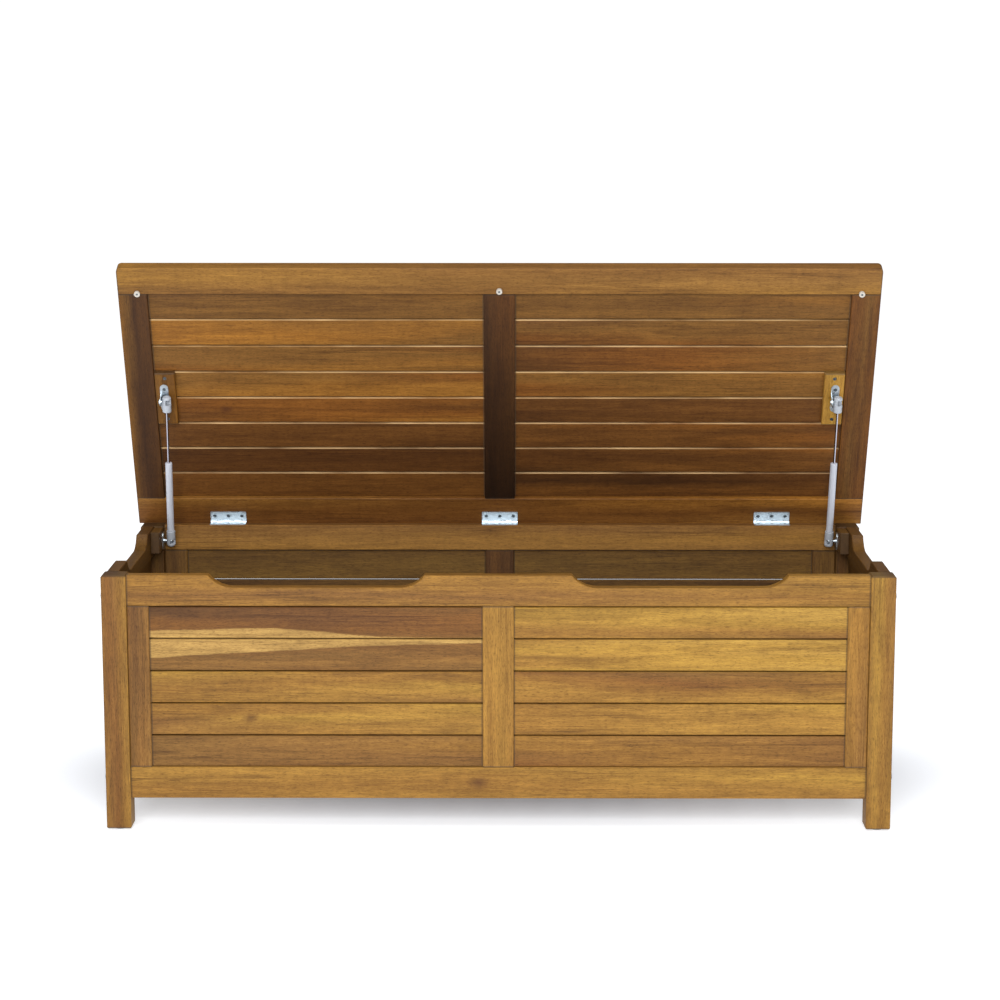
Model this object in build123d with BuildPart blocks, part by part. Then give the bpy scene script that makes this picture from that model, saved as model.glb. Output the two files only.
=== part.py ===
from build123d import *
import os
from math import asin, atan2, cos, degrees, hypot, radians, sin

os.makedirs("parts", exist_ok=True)

# ---------------------------------------------------------------------------
# Driving dimensions, in millimetres. X runs along the box, -Y is the front and
# Z = 0 is the ground. The part is modelled with its lid open, and its origin is
# on the ground at the middle of the space that it then fills.
# ---------------------------------------------------------------------------
box_length = 1270
box_depth = 482
box_height = 421
leg_size = 40
glide_height = 3
open_angle = 67

rail_thickness = 20
slat_thickness = 10
slat_recess = 4
slat_gap = 2
slats_per_bay = 5
centre_stile = 50
end_stiles = {"front": 35, "back": 40}
top_rail_heights = {"front": 50, "back": 45, "side": 50}
bottom_rail_low = 53
bottom_rail_high = 105
back_slats_higher = 6
panel_recess = 5
side_recess = 4
board_ease = 1.2

scoop_run = 40
front_scoop_width = 346
front_scoop_x = 291
front_scoop_depth = 20
side_scoop_width = 235
side_scoop_depth = 22
side_scoop_shift = 5

block_length = 51
block_height = 37
block_low = 382
block_rounding = 2

floor_height = 82
floor_reach = 588
floor_count = 15
floor_gap = 10
floor_clearance = 1
bearer_size = 20

lid_length = 1286
lid_width = 510.5
lid_thickness = 22
lid_gap = 5
lid_front_rail_width = 49
lid_rear_rail_width = 53
lid_stile_width = 49
lid_centre_stile = 53
lid_slats_per_bay = 8
lid_slat_thickness = 12
lid_slat_recess = 8
lid_corner_radius = 8

hinge_width = 63.5
hinge_spacing = 483
leaf_depth = 20
leaf_thickness = 1.6
knuckle_radius = 2.2
knuckle_count = 6
pin_radius = 1.2
pin_clearance = 0.05
pin_inset = 4
lid_behind_pin = 6

leaf_notch = 2.6
leaf_corner = 1.5
knuckle_gap = 0.3
hinge_screw_spacing = 24
hinge_screw_length = 16
screw_radius = 1.5
screw_head_radius = 3
screw_hole_ease = 0.1
countersink_angle = 90
recess_length = 3.2
recess_width = 0.8
recess_depth = 1

lid_ease = 1.6
centre_bumper_inset = 42
corner_bumper_inset = 47
corner_bumper_x = 610
bumper_radius = 5
bumper_height = 4.6
nail_head_radius = 2
nail_radius = 0.9
nail_sink = 1.6
nail_length = 16

cleat_width = 34.5
cleat_length = 102
cleat_thickness = 10
cleat_edge_gap = 1
cleat_from_edge = 201.5
cleat_screw_inset = 10.75
cleat_screw_sink = 1.2
cleat_screw_length = 17
cleat_screw_ease = 0.3

lower_ball_x = 580.5
lower_ball_from_front = 436
lower_ball_z = 397
upper_ball_from_pin = 254
upper_ball_drop = 12
ball_radius = 4
ball_clearance = 0.06
stud_radius = 2.4
stud_bore_radius = 3
open_pivot_gap = 0.6
window_shift = 3.6
window_length = 9.5
window_width = 10
window_floor = 3
socket_radius = 7.6
socket_nose = 10
socket_nose_rounding = 4
socket_tail_rounding = 0.8
lower_socket_tail = 19
upper_socket_tail = 18.2
thread_depth = 8
thread_radius = 3
tube_radius = 6
tube_wall = 0.8
tube_end_wall = 3
tube_rounding = 1
tube_length = 131
rod_radius = 2
rod_clearance = 0.05
piston_height = 6
piston_from_mouth = 12

bracket_thickness = 1.6
bracket_width = 14
lid_bracket_x = 578
lid_bracket_length = 53
lid_bracket_from_edge = 223
lid_bracket_screw_inset = 9.5
lid_bracket_to_ball = 10
flange_radius = 8
rivet_radius = 4.2
rivet_height = 2
rivet_rounding = 1
base_bracket_width = 16
base_bracket_length = 32
base_screw_offset = 11.5
collar_radius = 4
collar_height = 3
bracket_screw_length = 14

# ---------------------------------------------------------------------------
# Places worked out from the driving dimensions
# ---------------------------------------------------------------------------
tilt = radians(open_angle)
gap_half = lid_gap / 2
lid_top = gap_half + lid_thickness
pin_from_front = box_depth - pin_inset
overall_depth = pin_from_front + lid_behind_pin * cos(tilt) + lid_top * sin(tilt)
front_y = -overall_depth / 2
rear_y = front_y + box_depth
pin_y = front_y + pin_from_front
pin_z = box_height + gap_half
leg_x = (box_length - leg_size) / 2
leg_inner = box_length / 2 - leg_size
side_outer = box_length / 2 - side_recess
side_inner = side_outer - rail_thickness
sides = (("left", -1), ("right", 1))
floor_pitch = 2 * floor_reach / floor_count

# Lid workplane. Its own x runs along the lid, its own y runs from the free edge
# towards the hinge pin, and its own z runs out of the lid's weather face, with
# the hinge pin at its origin.
lid_plane = Plane(origin=(0, pin_y, pin_z), x_dir=(1, 0, 0), z_dir=(0, sin(tilt), cos(tilt)))
free_edge = lid_behind_pin - lid_width
lid_inner_front = free_edge + lid_front_rail_width
lid_inner_rear = lid_behind_pin - lid_rear_rail_width


def save(piece, name):
    """Label one finished sub-part and write it as its own STEP file."""
    piece.part.label = name
    export_step(piece.part, f"parts/{name}.step")


# ---------------------------------------------------------------------------
# Legs, glides, bolts and barrel nuts
# ---------------------------------------------------------------------------
bolt_radius = 3
bolt_hole_radius = 3.2
bolt_head_radius = 5.5
bolt_head_height = 3.5
bolt_head_proud = 2
nut_radius = 5
nut_length = 14
nut_depth_in_rail = 20
bolt_head_clearance = 0.5
bolt_length = 75
nut_clearance = 0.2
glide_ease = 1
top_chamfer = 2
foot_chamfer = 2
glide_radius = 12
bolt_head_seat = box_length / 2 + bolt_head_proud - bolt_head_height
nut_x = leg_inner - nut_depth_in_rail
top_bolt_z = 386.5
bottom_bolt_z = 88
panel_mid = panel_recess + rail_thickness / 2
panel_centres = {"front": front_y + panel_mid, "rear": rear_y - panel_mid}
leg_centres = {"front": front_y + leg_size / 2, "rear": rear_y - leg_size / 2}
bolt_places = [(y, z) for y in panel_centres.values() for z in (bottom_bolt_z, top_bolt_z)]

for side, sign in sides:
    for end, leg_y in leg_centres.items():
        bolt_spots = [(panel_centres[end], z) for z in (bottom_bolt_z, top_bolt_z)]
        with BuildPart() as leg:
            with BuildSketch(Plane.XY.offset(glide_height)):
                with Locations((sign * leg_x, leg_y)):
                    Rectangle(leg_size, leg_size)
            extrude(amount=box_height - glide_height)
            chamfer(leg.faces().sort_by(Axis.Z)[-1].edges(), length=top_chamfer)
            chamfer(leg.faces().sort_by(Axis.Z)[0].edges(), length=foot_chamfer)
            fillet(leg.edges().filter_by(Axis.Z), radius=board_ease)
            with BuildSketch(Plane.YZ.offset(sign * leg_x)):
                with Locations(*bolt_spots):
                    Circle(bolt_hole_radius)
            extrude(amount=leg_size, both=True, mode=Mode.SUBTRACT)
            with BuildSketch(Plane.YZ.offset(sign * bolt_head_seat)):
                with Locations(*bolt_spots):
                    Circle(bolt_head_radius + bolt_head_clearance)
            extrude(amount=sign * bolt_head_height, mode=Mode.SUBTRACT)
        save(leg, f"{end}_{side}_leg")

with BuildPart() as glides:
    with BuildSketch():
        with Locations((0, front_y + box_depth / 2)):
            with GridLocations(2 * leg_x, box_depth - leg_size, 2, 2):
                Circle(glide_radius)
    extrude(amount=glide_height)
    fillet(glides.edges().group_by(Axis.Z)[0], radius=glide_ease)
save(glides, "leg_glides")

with BuildPart() as bolts:
    for sign in (-1, 1):
        bolt_seat = Plane.YZ.offset(sign * bolt_head_seat)
        with BuildSketch(bolt_seat):
            with Locations(*bolt_places):
                RegularPolygon(bolt_head_radius, 6)
        extrude(amount=sign * bolt_head_height)
        with BuildSketch(bolt_seat):
            with Locations(*bolt_places):
                Circle(bolt_radius)
        extrude(amount=-sign * bolt_length)
save(bolts, "leg_bolts")

with BuildPart() as nuts:
    for panel_y in panel_centres.values():
        with BuildSketch(Plane.XZ.offset(-panel_y)):
            for sign in (-1, 1):
                with Locations((sign * nut_x, bottom_bolt_z), (sign * nut_x, top_bolt_z)):
                    Circle(nut_radius)
        extrude(amount=nut_length / 2, both=True)
    with BuildSketch(Plane.YZ):
        with Locations(*bolt_places):
            Circle(bolt_radius)
    extrude(amount=box_length / 2, both=True, mode=Mode.SUBTRACT)
save(nuts, "barrel_nuts")


# ---------------------------------------------------------------------------
# Front and back panels: rails, stiles and horizontal slats
# ---------------------------------------------------------------------------
def scoop_outline(width, depth):
    """A finger scoop hung from its origin: a flat floor that runs up in two arcs."""
    radius = (scoop_run**2 + depth**2) / (2 * depth)
    sweep = degrees(asin(scoop_run / radius))
    half_floor = width / 2 - scoop_run
    with BuildSketch() as outline:
        with BuildLine():
            floor = Line((-half_floor, -depth), (half_floor, -depth))
            right = JernArc(floor @ 1, (1, 0), radius, sweep)
            left = JernArc(floor @ 0, (-1, 0), radius, -sweep)
            Polyline(right @ 1, (width / 2, depth), (-width / 2, depth), left @ 1)
        make_face()
    return outline.sketch


def slat_rows(low, high, count, gap):
    """Centre and height of each of the slats that fill a space, with a gap over each."""
    pitch = (high - low) / count
    height = pitch - gap
    return [low + pitch * row + height / 2 for row in range(count)], height


panels = (
    ("front", "front", bottom_rail_high),
    ("back", "rear", bottom_rail_high + back_slats_higher),
)
for panel, end, slats_low in panels:
    panel_y = panel_centres[end]
    rail_plane = Plane.XZ.offset(-(panel_y + rail_thickness / 2))
    slats_high = box_height - top_rail_heights[panel]
    end_stile = end_stiles[panel]
    rails = (
        ("top_rail", slats_high, box_height, top_bolt_z),
        ("bottom_rail", bottom_rail_low, slats_low, bottom_bolt_z),
    )
    for rail_name, rail_low, rail_high, bolt_z in rails:
        with BuildPart() as rail:
            with BuildSketch(rail_plane):
                with Locations((0, (rail_low + rail_high) / 2)):
                    Rectangle(2 * leg_inner, rail_high - rail_low)
                if panel == "front" and rail_name == "top_rail":
                    with Locations((-front_scoop_x, rail_high), (front_scoop_x, rail_high)):
                        add(scoop_outline(front_scoop_width, front_scoop_depth), mode=Mode.SUBTRACT)
            extrude(amount=rail_thickness)
            long_edges = rail.edges().filter_by(Plane.XZ).filter_by(Axis.Z, reverse=True)
            chamfer(long_edges, length=board_ease)
            with BuildSketch(Plane.YZ):
                with Locations((panel_y, bolt_z)):
                    Circle(bolt_hole_radius)
            extrude(amount=leg_inner, both=True, mode=Mode.SUBTRACT)
            with BuildSketch(Plane.XZ.offset(-panel_y)):
                with Locations((-nut_x, bolt_z), (nut_x, bolt_z)):
                    Circle(nut_radius + nut_clearance)
            extrude(amount=-rail_thickness, mode=Mode.SUBTRACT)
            with BuildSketch(Plane.XZ.offset(-panel_y)):
                with Locations((-nut_x, bolt_z), (nut_x, bolt_z)):
                    Circle(nut_radius + nut_clearance)
            extrude(amount=nut_length / 2, mode=Mode.SUBTRACT)
        save(rail, f"{panel}_{rail_name}")

    stile_middle = (slats_low + slats_high) / 2
    end_stile_x = leg_inner - end_stile / 2
    with BuildPart() as stiles:
        with BuildSketch(rail_plane):
            with Locations((0, stile_middle)):
                Rectangle(centre_stile, slats_high - slats_low)
            with Locations((-end_stile_x, stile_middle), (end_stile_x, stile_middle)):
                Rectangle(end_stile, slats_high - slats_low)
        extrude(amount=rail_thickness)
        chamfer(stiles.edges().filter_by(Axis.Z), length=board_ease)
    save(stiles, f"{panel}_stiles")

    slat_centres, slat_height = slat_rows(slats_low, slats_high, slats_per_bay, slat_gap)
    bay_inner = centre_stile / 2
    bay_outer = leg_inner - end_stile
    slat_y = panel_y - (rail_thickness / 2 - slat_recess - slat_thickness / 2)
    for side, sign in sides:
        with BuildPart() as slats:
            with BuildSketch(Plane.XZ.offset(-(slat_y + slat_thickness / 2))):
                with Locations(*[(sign * (bay_inner + bay_outer) / 2, z) for z in slat_centres]):
                    Rectangle(bay_outer - bay_inner, slat_height)
            extrude(amount=slat_thickness)
            chamfer(slats.edges().filter_by(Axis.X), length=board_ease)
        save(slats, f"{panel}_{side}_slats")

# ---------------------------------------------------------------------------
# Side panels, floor and strut blocks
# ---------------------------------------------------------------------------
side_length = box_depth - 2 * leg_size
side_middle = front_y + box_depth / 2
side_slats_high = box_height - top_rail_heights["side"]
side_levels = (
    ("top_rail", side_slats_high, box_height),
    ("bottom_rail", bottom_rail_low, bottom_rail_high),
)
slat_centres, slat_height = slat_rows(bottom_rail_high, side_slats_high, slats_per_bay, slat_gap)
for side, sign in sides:
    for rail_name, rail_low, rail_high in side_levels:
        with BuildPart() as rail:
            with BuildSketch(Plane.YZ.offset(sign * (side_outer - rail_thickness / 2))):
                with Locations((side_middle, (rail_low + rail_high) / 2)):
                    Rectangle(side_length, rail_high - rail_low)
                if rail_name == "top_rail":
                    with Locations((side_middle + side_scoop_shift, rail_high)):
                        add(scoop_outline(side_scoop_width, side_scoop_depth), mode=Mode.SUBTRACT)
            extrude(amount=rail_thickness / 2, both=True)
            long_edges = rail.edges().filter_by(Plane.YZ).filter_by(Axis.Z, reverse=True)
            chamfer(long_edges, length=board_ease)
        save(rail, f"{side}_{rail_name}")

    slat_x = side_outer - slat_recess - slat_thickness / 2
    with BuildPart() as slats:
        with BuildSketch(Plane.YZ.offset(sign * slat_x)):
            with Locations(*[(side_middle, z) for z in slat_centres]):
                Rectangle(side_length, slat_height)
        extrude(amount=slat_thickness / 2, both=True)
        chamfer(slats.edges().filter_by(Axis.Y), length=board_ease)
    save(slats, f"{side}_slats")

    block_x = sign * (leg_inner + side_inner) / 2
    with BuildPart() as block:
        with BuildSketch(Plane.XY.offset(block_low)):
            with Locations((block_x, rear_y - leg_size - block_length / 2)):
                Rectangle(side_inner - leg_inner, block_length)
        extrude(amount=block_height)
        fillet(block.edges().filter_by(Axis.Z).group_by(Axis.Y)[0], radius=block_rounding)
        chamfer(block.edges().group_by(Axis.Z)[-1], length=board_ease)
    save(block, f"{side}_strut_block")

inside_front = front_y + panel_recess + rail_thickness
inside_rear = rear_y - panel_recess - rail_thickness
with BuildPart() as bearers:
    with BuildSketch(Plane.XY.offset(floor_height - bearer_size)):
        with Locations((0, inside_front + bearer_size / 2), (0, inside_rear - bearer_size / 2)):
            Rectangle(2 * floor_reach, bearer_size)
    extrude(amount=bearer_size)
    chamfer(bearers.edges().filter_by(Axis.X), length=board_ease)
save(bearers, "floor_bearers")

with BuildPart() as floor_slats:
    with BuildSketch(Plane.XY.offset(floor_height)):
        with Locations((0, (inside_front + inside_rear) / 2)):
            with GridLocations(floor_pitch, 0, floor_count, 1):
                Rectangle(floor_pitch - floor_gap, inside_rear - inside_front - 2 * floor_clearance)
    extrude(amount=slat_thickness)
    chamfer(floor_slats.edges().filter_by(Axis.Y), length=board_ease)
save(floor_slats, "floor_slats")


# ---------------------------------------------------------------------------
# Hinges: leaves on the back rail and under the lid, a pin, countersunk screws.
# Each half has a workplane on the pin, whose z runs out of the wood it is on.
# ---------------------------------------------------------------------------
def knuckle_spots(first):
    """X of every other knuckle of all the hinges, from the given one on."""
    pitch = hinge_width / knuckle_count
    start = -hinge_width / 2 + pitch / 2
    rows = range(first, knuckle_count, 2)
    return [hinge_x + start + pitch * row for hinge_x in hinge_places for row in rows]


def screw_spots(reach):
    """Places of the hinge screws in one half's workplane."""
    screw_y = reach * (leaf_depth + leaf_notch) / 2
    offsets = (-hinge_screw_spacing, 0, hinge_screw_spacing)
    return [(hinge_x + offset, screw_y) for hinge_x in hinge_places for offset in offsets]


def hinge_leaves(plane, reach, first_knuckle):
    """The leaves of one half of every hinge, which run from the pin along y times reach."""
    leaf_top = leaf_thickness - gap_half
    leaf_y = reach * (leaf_depth + leaf_notch) / 2
    bridge = leaf_notch + 1
    knuckle_length = hinge_width / knuckle_count - knuckle_gap
    with BuildPart() as leaves:
        with BuildSketch(plane.offset(leaf_top)):
            with Locations(*[(hinge_x, leaf_y) for hinge_x in hinge_places]):
                RectangleRounded(hinge_width, leaf_depth - leaf_notch, leaf_corner)
        extrude(amount=-leaf_thickness)
        for knuckle_x in knuckle_spots(first_knuckle):
            centre = plane.from_local_coords((knuckle_x, 0, 0))
            with BuildSketch(Plane(centre, x_dir=plane.y_dir, z_dir=plane.x_dir)):
                Circle(knuckle_radius)
                with Locations((reach * bridge / 2, leaf_top - leaf_thickness / 2)):
                    Rectangle(bridge, leaf_thickness)
            extrude(amount=knuckle_length / 2, both=True)
        with BuildSketch(Plane(plane.origin, x_dir=plane.y_dir, z_dir=plane.x_dir)):
            Circle(pin_radius + pin_clearance)
        extrude(amount=box_length / 2, both=True, mode=Mode.SUBTRACT)
        with Locations(plane.offset(leaf_top)):
            with Locations(*screw_spots(reach)):
                sink_screws(leaf_thickness)
    return leaves


def sink_screws(depth):
    """Cut a clearance hole and a countersink for a screw at each place, from the face in."""
    hole_radius = screw_radius + screw_hole_ease
    CounterSinkHole(hole_radius, screw_head_radius + screw_hole_ease, depth, countersink_angle)


def add_screws(plane, places, length):
    """Add countersunk cross-head screws whose heads are flush with the workplane."""
    head_height = screw_head_radius - screw_radius
    top = (Align.CENTER, Align.CENTER, Align.MAX)
    with Locations(plane):
        with Locations(*places):
            Cone(screw_radius, screw_head_radius, head_height, align=top)
            Cylinder(screw_radius, length, align=top)
            Box(recess_length, recess_width, recess_depth, align=top, mode=Mode.SUBTRACT)
            Box(recess_width, recess_length, recess_depth, align=top, mode=Mode.SUBTRACT)


hinge_places = (-hinge_spacing, 0, hinge_spacing)
base_hinge_plane = Plane(origin=(0, pin_y, pin_z))
lid_hinge_plane = Plane(origin=lid_plane.origin, x_dir=(1, 0, 0), z_dir=-lid_plane.z_dir)
hinge_halves = (("base", base_hinge_plane, -1, 1), ("lid", lid_hinge_plane, 1, 0))
for half, plane, reach, first_knuckle in hinge_halves:
    leaves = hinge_leaves(plane, reach, first_knuckle)
    save(leaves, f"{half}_hinge_leaves")
    with BuildPart() as screws:
        add_screws(plane.offset(leaf_thickness - gap_half), screw_spots(reach), hinge_screw_length)
    save(screws, f"{half}_hinge_screws")

with BuildPart() as pins:
    for hinge_x in hinge_places:
        with BuildSketch(Plane.YZ.offset(hinge_x)):
            with Locations((pin_y, pin_z)):
                Circle(pin_radius)
        extrude(amount=hinge_width / 2, both=True)
save(pins, "hinge_pins")

# ---------------------------------------------------------------------------
# Lid: two full-length rails, three stiles between them and two bays of slats
# ---------------------------------------------------------------------------
lid_across = Axis(lid_plane.origin, lid_plane.y_dir)
lid_rails = (
    ("front", free_edge, lid_inner_front),
    ("rear", lid_inner_rear, lid_behind_pin),
)
for rail_name, low_y, high_y in lid_rails:
    with BuildPart() as rail:
        with BuildSketch(lid_plane.offset(gap_half)) as rail_outline:
            with Locations((0, (low_y + high_y) / 2)):
                Rectangle(lid_length, high_y - low_y)
            if rail_name == "front":
                corners = rail_outline.vertices().group_by(Axis.Y)[0]
                fillet(corners, radius=lid_corner_radius)
        extrude(amount=lid_thickness)
        fillet(rail.edges(), radius=lid_ease)
    save(rail, f"lid_{rail_name}_rail")

stile_length = lid_inner_rear - lid_inner_front
lid_middle = (lid_inner_rear + lid_inner_front) / 2
lid_side_x = (lid_length - lid_stile_width) / 2
lid_stiles = (
    ("left", -lid_side_x, lid_stile_width),
    ("centre", 0, lid_centre_stile),
    ("right", lid_side_x, lid_stile_width),
)
for stile_name, stile_x, stile_width in lid_stiles:
    with BuildPart() as stile:
        with BuildSketch(lid_plane.offset(gap_half)):
            with Locations((stile_x, lid_middle)):
                Rectangle(stile_width, stile_length)
        extrude(amount=lid_thickness)
        fillet(stile.edges().filter_by(lid_across), radius=lid_ease)
    save(stile, f"lid_{stile_name}_stile")

slat_underside = gap_half + lid_slat_recess
lid_bay_inner = lid_centre_stile / 2
lid_bay_outer = lid_length / 2 - lid_stile_width
row_centres, row_height = slat_rows(-lid_inner_rear, -lid_inner_front, lid_slats_per_bay, slat_gap)
for side, sign in sides:
    with BuildPart() as slats:
        with BuildSketch(lid_plane.offset(slat_underside)):
            bay_x = sign * (lid_bay_inner + lid_bay_outer) / 2
            with Locations(*[(bay_x, -centre) for centre in row_centres]):
                Rectangle(lid_bay_outer - lid_bay_inner, row_height)
        extrude(amount=lid_slat_thickness)
        chamfer(slats.edges().filter_by(Axis.X), length=board_ease)
    save(slats, f"lid_{side}_slats")

# ---------------------------------------------------------------------------
# Lid furniture: bumpers with their nails, strut cleats and their screws
# ---------------------------------------------------------------------------
bumper_places = (
    (0, -(free_edge + centre_bumper_inset)),
    (-corner_bumper_x, -(free_edge + corner_bumper_inset)),
    (corner_bumper_x, -(free_edge + corner_bumper_inset)),
)
bumper_seat = lid_hinge_plane.offset(-gap_half)
with BuildPart() as bumpers:
    with BuildSketch(bumper_seat):
        with Locations(*bumper_places):
            Circle(bumper_radius)
    extrude(amount=bumper_height)
    with BuildSketch(bumper_seat.offset(bumper_height)):
        with Locations(*bumper_places):
            Circle(nail_head_radius)
    extrude(amount=-nail_sink, mode=Mode.SUBTRACT)
    with BuildSketch(bumper_seat):
        with Locations(*bumper_places):
            Circle(nail_radius)
    extrude(amount=bumper_height, mode=Mode.SUBTRACT)
save(bumpers, "lid_bumpers")

with BuildPart() as nails:
    head_level = bumper_seat.offset(bumper_height - nail_sink)
    with BuildSketch(head_level):
        with Locations(*bumper_places):
            Circle(nail_head_radius)
    extrude(amount=nail_sink / 2)
    with BuildSketch(head_level):
        with Locations(*bumper_places):
            Circle(nail_radius)
    extrude(amount=-nail_length)
save(nails, "bumper_nails")

cleat_x = lid_bay_outer - cleat_edge_gap - cleat_width / 2
cleat_middle = -(free_edge + cleat_from_edge + cleat_length / 2)
cleat_face = lid_hinge_plane.offset(cleat_thickness - slat_underside)
cleat_screw_spots = {
    sign: [
        (sign * cleat_x, cleat_middle - end * (cleat_length / 2 - cleat_screw_inset))
        for end in (-1, 1)
    ]
    for side, sign in sides
}
cleat_hole_radius = screw_radius + cleat_screw_ease
cleat_sink_radius = screw_head_radius + cleat_screw_sink
cleat_depth = Axis(cleat_face.origin, cleat_face.z_dir)
for side, sign in sides:
    with BuildPart() as cleat:
        with BuildSketch(cleat_face):
            with Locations((sign * cleat_x, cleat_middle)):
                Rectangle(cleat_width, cleat_length)
        extrude(amount=-cleat_thickness)
        chamfer(cleat.faces().sort_by(cleat_depth)[-1].edges(), length=board_ease)
        with Locations(cleat_face):
            with Locations(*cleat_screw_spots[sign]):
                CounterSinkHole(
                    cleat_hole_radius, cleat_sink_radius, cleat_thickness, countersink_angle
                )
    save(cleat, f"{side}_lid_cleat")

with BuildPart() as cleat_screws:
    for side, sign in sides:
        add_screws(cleat_face.offset(-cleat_screw_sink), cleat_screw_spots[sign], cleat_screw_length)
save(cleat_screws, "cleat_screws")

# ---------------------------------------------------------------------------
# Strut brackets, each one piece with its riveted ball stud, and their screws
# ---------------------------------------------------------------------------
lid_bracket_middle = -(free_edge + lid_bracket_from_edge + lid_bracket_length / 2)
lid_bracket_screws = [
    lid_bracket_middle + end * (lid_bracket_length / 2 - lid_bracket_screw_inset)
    for end in (-1, 1)
]
bracket_face = cleat_face.offset(bracket_thickness)
flange_to_ball = bracket_thickness + lid_bracket_to_ball
flange_places = {side: sign * lid_bracket_x - bracket_width / 2 for side, sign in sides}
upper_balls = {
    side: lid_hinge_plane.from_local_coords(
        (flange_places[side] + flange_to_ball, upper_ball_from_pin, upper_ball_drop)
    )
    for side, sign in sides
}
lower_balls = {
    side: Vector(sign * lower_ball_x, front_y + lower_ball_from_front, lower_ball_z)
    for side, sign in sides
}

bracket_screw_places = []
for side, sign in sides:
    flange_x = flange_places[side]
    bracket_x = sign * lid_bracket_x
    bracket_screw_places += [(bracket_x, screw_y) for screw_y in lid_bracket_screws]
    flange_plane = Plane(
        lid_hinge_plane.from_local_coords((flange_x, upper_ball_from_pin, upper_ball_drop)),
        x_dir=lid_hinge_plane.y_dir,
        z_dir=(1, 0, 0),
    )
    plate_drop = upper_ball_drop - cleat_thickness + slat_underside
    with BuildPart() as bracket:
        with BuildSketch(cleat_face):
            with Locations((bracket_x, lid_bracket_middle)):
                SlotOverall(lid_bracket_length, bracket_width, rotation=90)
            with Locations((flange_x + bracket_width / 4, upper_ball_from_pin)):
                Rectangle(bracket_width / 2, 2 * flange_radius)
        extrude(amount=bracket_thickness)
        with BuildSketch(flange_plane):
            Circle(flange_radius)
            with Locations((0, -plate_drop / 2)):
                Rectangle(2 * flange_radius, plate_drop)
        extrude(amount=bracket_thickness)
        with BuildSketch(flange_plane):
            Circle(rivet_radius)
        extrude(amount=-rivet_height)
        fillet(bracket.faces().sort_by(Axis.X)[0].edges(), radius=rivet_rounding)
        with BuildSketch(flange_plane.offset(bracket_thickness)):
            Circle(stud_radius)
        extrude(amount=lid_bracket_to_ball - socket_radius - open_pivot_gap)
        with Locations(bracket_face):
            with Locations(*[(bracket_x, screw_y) for screw_y in lid_bracket_screws]):
                sink_screws(bracket_thickness)
    save(bracket, f"{side}_lid_bracket")

    block_face = Plane(
        (sign * leg_inner, lower_balls[side].Y, lower_ball_z), x_dir=(0, 1, 0), z_dir=(-sign, 0, 0)
    )
    stud_length = leg_inner - bracket_thickness - lower_ball_x
    with BuildPart() as base_bracket:
        with BuildSketch(block_face):
            SlotOverall(base_bracket_length, base_bracket_width, rotation=90)
        extrude(amount=bracket_thickness)
        with BuildSketch(block_face.offset(bracket_thickness)):
            Circle(collar_radius)
        extrude(amount=collar_height)
        with BuildSketch(block_face.offset(bracket_thickness)):
            Circle(stud_radius)
        extrude(amount=stud_length)
        with Locations(Plane(lower_balls[side], x_dir=(0, 1, 0), z_dir=(-sign, 0, 0))):
            Sphere(ball_radius)
        with Locations(block_face.offset(bracket_thickness)):
            with Locations((0, -base_screw_offset), (0, base_screw_offset)):
                sink_screws(bracket_thickness)
    save(base_bracket, f"{side}_base_ball_stud")

with BuildPart() as lid_bracket_screw_set:
    add_screws(bracket_face, bracket_screw_places, bracket_screw_length)
save(lid_bracket_screw_set, "lid_bracket_screws")

with BuildPart() as base_bracket_screw_set:
    for side, sign in sides:
        face = Plane(
            (sign * (leg_inner - bracket_thickness), lower_balls[side].Y, lower_ball_z),
            x_dir=(0, 1, 0),
            z_dir=(-sign, 0, 0),
        )
        add_screws(face, [(0, -base_screw_offset), (0, base_screw_offset)], bracket_screw_length)
save(base_bracket_screw_set, "base_bracket_screws")


# ---------------------------------------------------------------------------
# Gas struts: a ball socket and tube below, a rod with its piston and socket above
# ---------------------------------------------------------------------------
def ball_socket(plane, stud_side, tail, bore_radius):
    """A socket whose ball is at the plane's origin, whose threaded tail is along z and which has
    a window in its front, away from the stud."""
    along = Axis(plane.origin, plane.z_dir)
    stud_plane = Plane(plane.origin, x_dir=plane.z_dir, z_dir=(stud_side, 0, 0))
    turn = 1 if plane.z_dir.Z > 0 else -1
    forward = (0, -turn * plane.z_dir.Z, turn * plane.z_dir.Y)
    window_plane = Plane(plane.origin, x_dir=plane.z_dir, z_dir=forward)
    with BuildPart() as socket:
        with BuildSketch(plane.offset(-socket_nose)):
            Circle(socket_radius)
        extrude(amount=socket_nose + tail)
        fillet(socket.edges().filter_by(GeomType.CIRCLE).sort_by(along)[0], radius=socket_nose_rounding)
        fillet(socket.edges().filter_by(GeomType.CIRCLE).sort_by(along)[-1], radius=socket_tail_rounding)
        with Locations(stud_plane):
            Sphere(ball_radius + ball_clearance, mode=Mode.SUBTRACT)
        with BuildSketch(stud_plane):
            Circle(stud_bore_radius)
        extrude(amount=2 * socket_radius, mode=Mode.SUBTRACT)
        with BuildSketch(window_plane.offset(-window_floor)):
            with Locations((0, turn * stud_side * window_shift)):
                Rectangle(window_length, window_width)
        extrude(amount=socket_radius + window_floor, mode=Mode.SUBTRACT)
        with BuildSketch(plane.offset(tail)):
            Circle(bore_radius)
        extrude(amount=-thread_depth, mode=Mode.SUBTRACT)
    return socket


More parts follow.
